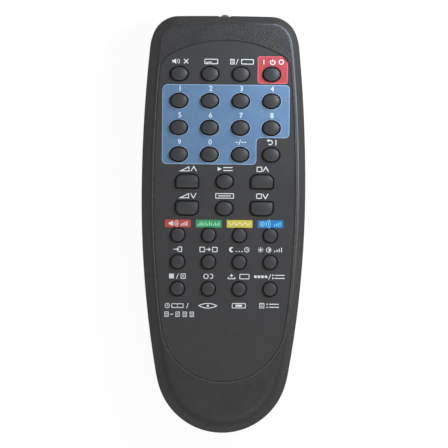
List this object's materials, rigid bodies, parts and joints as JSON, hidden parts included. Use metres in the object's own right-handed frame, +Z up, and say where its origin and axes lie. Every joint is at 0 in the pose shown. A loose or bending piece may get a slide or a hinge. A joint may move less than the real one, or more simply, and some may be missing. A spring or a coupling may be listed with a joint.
{
  "type": "tv remote control",
  "caption": "Hand-held infrared remote control: two case shells, a printed film, rubber keys over a contact board, two cells and a sliding battery cover.",
  "frame": {"origin": "on the resting surface, under the middle of the whole length and width, the remote lying on its back", "axes": "+X to the right of the keypad, +Y to the end with the infrared diode, +Z up out of the keys"},
  "size_m": [0.065, 0.166, 0.0249],
  "materials": {
    "case": "fine spark texture, dark warm grey",
    "film": "smooth printed film, dark grey",
    "key": "matt moulded silicone rubber, dark grey",
    "mat": "matt silicone rubber",
    "board": "phenolic laminate, brown",
    "carbon": "printed carbon",
    "chip": "moulded black resin",
    "resonator": "dipped orange resin",
    "capacitor": "shrunk dark blue sleeve",
    "resistor": "beige lacquer",
    "disc": "ochre dipped ceramic",
    "tinned_wire": "tinned copper",
    "led": "smoked clear resin",
    "screw": "zinc plated steel",
    "battery": "printed sleeve on a steel can",
    "contact": "nickel plated spring steel"
  },
  "bodies": {
    "case": {"upper_case": "case", "lower_case": "case", "face_film": "film", "key_mat": "mat", "circuit_board": "board", "contact_pads": "carbon", "encoder_chip": "chip", "resonator": "resonator", "filter_capacitor": "capacitor", "drive_transistor": "chip", "resistors": "resistor", "disc_capacitors": "disc", "wire_links": "tinned_wire", "ir_led": "led", "board_screws": "screw", "case_screws": "screw", "battery_left": "battery", "battery_right": "battery", "spring_contact": "contact", "plate_contact": "contact", "bridge_contact": "contact"},
    "battery_cover": {"battery_cover": "case"},
    "key_mute": {"key_mute": "key"},
    "key_display": {"key_display": "key"},
    "key_text": {"key_text": "key"},
    "key_power": {"key_power": "key"},
    "key_1": {"key_1": "key"},
    "key_2": {"key_2": "key"},
    "key_3": {"key_3": "key"},
    "key_4": {"key_4": "key"},
    "key_5": {"key_5": "key"},
    "key_6": {"key_6": "key"},
    "key_7": {"key_7": "key"},
    "key_8": {"key_8": "key"},
    "key_9": {"key_9": "key"},
    "key_0": {"key_0": "key"},
    "key_digits": {"key_digits": "key"},
    "key_recall": {"key_recall": "key"},
    "key_red": {"key_red": "key"},
    "key_green": {"key_green": "key"},
    "key_yellow": {"key_yellow": "key"},
    "key_blue": {"key_blue": "key"},
    "key_input": {"key_input": "key"},
    "key_copy": {"key_copy": "key"},
    "key_sleep": {"key_sleep": "key"},
    "key_picture": {"key_picture": "key"},
    "key_stop": {"key_stop": "key"},
    "key_mix": {"key_mix": "key"},
    "key_store": {"key_store": "key"},
    "key_list": {"key_list": "key"},
    "key_volume_up": {"key_volume_up": "key"},
    "key_item": {"key_item": "key"},
    "key_program_up": {"key_program_up": "key"},
    "key_volume_down": {"key_volume_down": "key"},
    "key_menu": {"key_menu": "key"},
    "key_program_down": {"key_program_down": "key"}
  },
  "joints": [
    {"name": "key_mute_press", "type": "slide", "parent": "case", "child": "key_mute", "axis": [0, 0, -1], "range_m": [0, 0.001], "stiffness_N_per_m": 1000},
    {"name": "key_display_press", "type": "slide", "parent": "case", "child": "key_display", "axis": [0, 0, -1], "range_m": [0, 0.001], "stiffness_N_per_m": 1000},
    {"name": "key_text_press", "type": "slide", "parent": "case", "child": "key_text", "axis": [0, 0, -1], "range_m": [0, 0.001], "stiffness_N_per_m": 1000},
    {"name": "key_power_press", "type": "slide", "parent": "case", "child": "key_power", "axis": [0, 0, -1], "range_m": [0, 0.001], "stiffness_N_per_m": 1000},
    {"name": "key_1_press", "type": "slide", "parent": "case", "child": "key_1", "axis": [0, 0, -1], "range_m": [0, 0.001], "stiffness_N_per_m": 1000},
    {"name": "key_2_press", "type": "slide", "parent": "case", "child": "key_2", "axis": [0, 0, -1], "range_m": [0, 0.001], "stiffness_N_per_m": 1000},
    {"name": "key_3_press", "type": "slide", "parent": "case", "child": "key_3", "axis": [0, 0, -1], "range_m": [0, 0.001], "stiffness_N_per_m": 1000},
    {"name": "key_4_press", "type": "slide", "parent": "case", "child": "key_4", "axis": [0, 0, -1], "range_m": [0, 0.001], "stiffness_N_per_m": 1000},
    {"name": "key_5_press", "type": "slide", "parent": "case", "child": "key_5", "axis": [0, 0, -1], "range_m": [0, 0.001], "stiffness_N_per_m": 1000},
    {"name": "key_6_press", "type": "slide", "parent": "case", "child": "key_6", "axis": [0, 0, -1], "range_m": [0, 0.001], "stiffness_N_per_m": 1000},
    {"name": "key_7_press", "type": "slide", "parent": "case", "child": "key_7", "axis": [0, 0, -1], "range_m": [0, 0.001], "stiffness_N_per_m": 1000},
    {"name": "key_8_press", "type": "slide", "parent": "case", "child": "key_8", "axis": [0, 0, -1], "range_m": [0, 0.001], "stiffness_N_per_m": 1000},
    {"name": "key_9_press", "type": "slide", "parent": "case", "child": "key_9", "axis": [0, 0, -1], "range_m": [0, 0.001], "stiffness_N_per_m": 1000},
    {"name": "key_0_press", "type": "slide", "parent": "case", "child": "key_0", "axis": [0, 0, -1], "range_m": [0, 0.001], "stiffness_N_per_m": 1000},
    {"name": "key_digits_press", "type": "slide", "parent": "case", "child": "key_digits", "axis": [0, 0, -1], "range_m": [0, 0.001], "stiffness_N_per_m": 1000},
    {"name": "key_recall_press", "type": "slide", "parent": "case", "child": "key_recall", "axis": [0, 0, -1], "range_m": [0, 0.001], "stiffness_N_per_m": 1000},
    {"name": "key_red_press", "type": "slide", "parent": "case", "child": "key_red", "axis": [0, 0, -1], "range_m": [0, 0.001], "stiffness_N_per_m": 1000},
    {"name": "key_green_press", "type": "slide", "parent": "case", "child": "key_green", "axis": [0, 0, -1], "range_m": [0, 0.001], "stiffness_N_per_m": 1000},
    {"name": "key_yellow_press", "type": "slide", "parent": "case", "child": "key_yellow", "axis": [0, 0, -1], "range_m": [0, 0.001], "stiffness_N_per_m": 1000},
    {"name": "key_blue_press", "type": "slide", "parent": "case", "child": "key_blue", "axis": [0, 0, -1], "range_m": [0, 0.001], "stiffness_N_per_m": 1000},
    {"name": "key_input_press", "type": "slide", "parent": "case", "child": "key_input", "axis": [0, 0, -1], "range_m": [0, 0.001], "stiffness_N_per_m": 1000},
    {"name": "key_copy_press", "type": "slide", "parent": "case", "child": "key_copy", "axis": [0, 0, -1], "range_m": [0, 0.001], "stiffness_N_per_m": 1000},
    {"name": "key_sleep_press", "type": "slide", "parent": "case", "child": "key_sleep", "axis": [0, 0, -1], "range_m": [0, 0.001], "stiffness_N_per_m": 1000},
    {"name": "key_picture_press", "type": "slide", "parent": "case", "child": "key_picture", "axis": [0, 0, -1], "range_m": [0, 0.001], "stiffness_N_per_m": 1000},
    {"name": "key_stop_press", "type": "slide", "parent": "case", "child": "key_stop", "axis": [0, 0, -1], "range_m": [0, 0.001], "stiffness_N_per_m": 1000},
    {"name": "key_mix_press", "type": "slide", "parent": "case", "child": "key_mix", "axis": [0, 0, -1], "range_m": [0, 0.001], "stiffness_N_per_m": 1000},
    {"name": "key_store_press", "type": "slide", "parent": "case", "child": "key_store", "axis": [0, 0, -1], "range_m": [0, 0.001], "stiffness_N_per_m": 1000},
    {"name": "key_list_press", "type": "slide", "parent": "case", "child": "key_list", "axis": [0, 0, -1], "range_m": [0, 0.001], "stiffness_N_per_m": 1000},
    {"name": "key_volume_up_press", "type": "slide", "parent": "case", "child": "key_volume_up", "axis": [0, 0, -1], "range_m": [0, 0.001], "stiffness_N_per_m": 1000},
    {"name": "key_item_press", "type": "slide", "parent": "case", "child": "key_item", "axis": [0, 0, -1], "range_m": [0, 0.001], "stiffness_N_per_m": 1000},
    {"name": "key_program_up_press", "type": "slide", "parent": "case", "child": "key_program_up", "axis": [0, 0, -1], "range_m": [0, 0.001], "stiffness_N_per_m": 1000},
    {"name": "key_volume_down_press", "type": "slide", "parent": "case", "child": "key_volume_down", "axis": [0, 0, -1], "range_m": [0, 0.001], "stiffness_N_per_m": 1000},
    {"name": "key_menu_press", "type": "slide", "parent": "case", "child": "key_menu", "axis": [0, 0, -1], "range_m": [0, 0.001], "stiffness_N_per_m": 1000},
    {"name": "key_program_down_press", "type": "slide", "parent": "case", "child": "key_program_down", "axis": [0, 0, -1], "range_m": [0, 0.001], "stiffness_N_per_m": 1000},
    {"name": "cover_slide", "type": "slide", "parent": "case", "child": "battery_cover", "axis": [0, -1, 0], "range_m": [0, 0.07]}
  ]
}
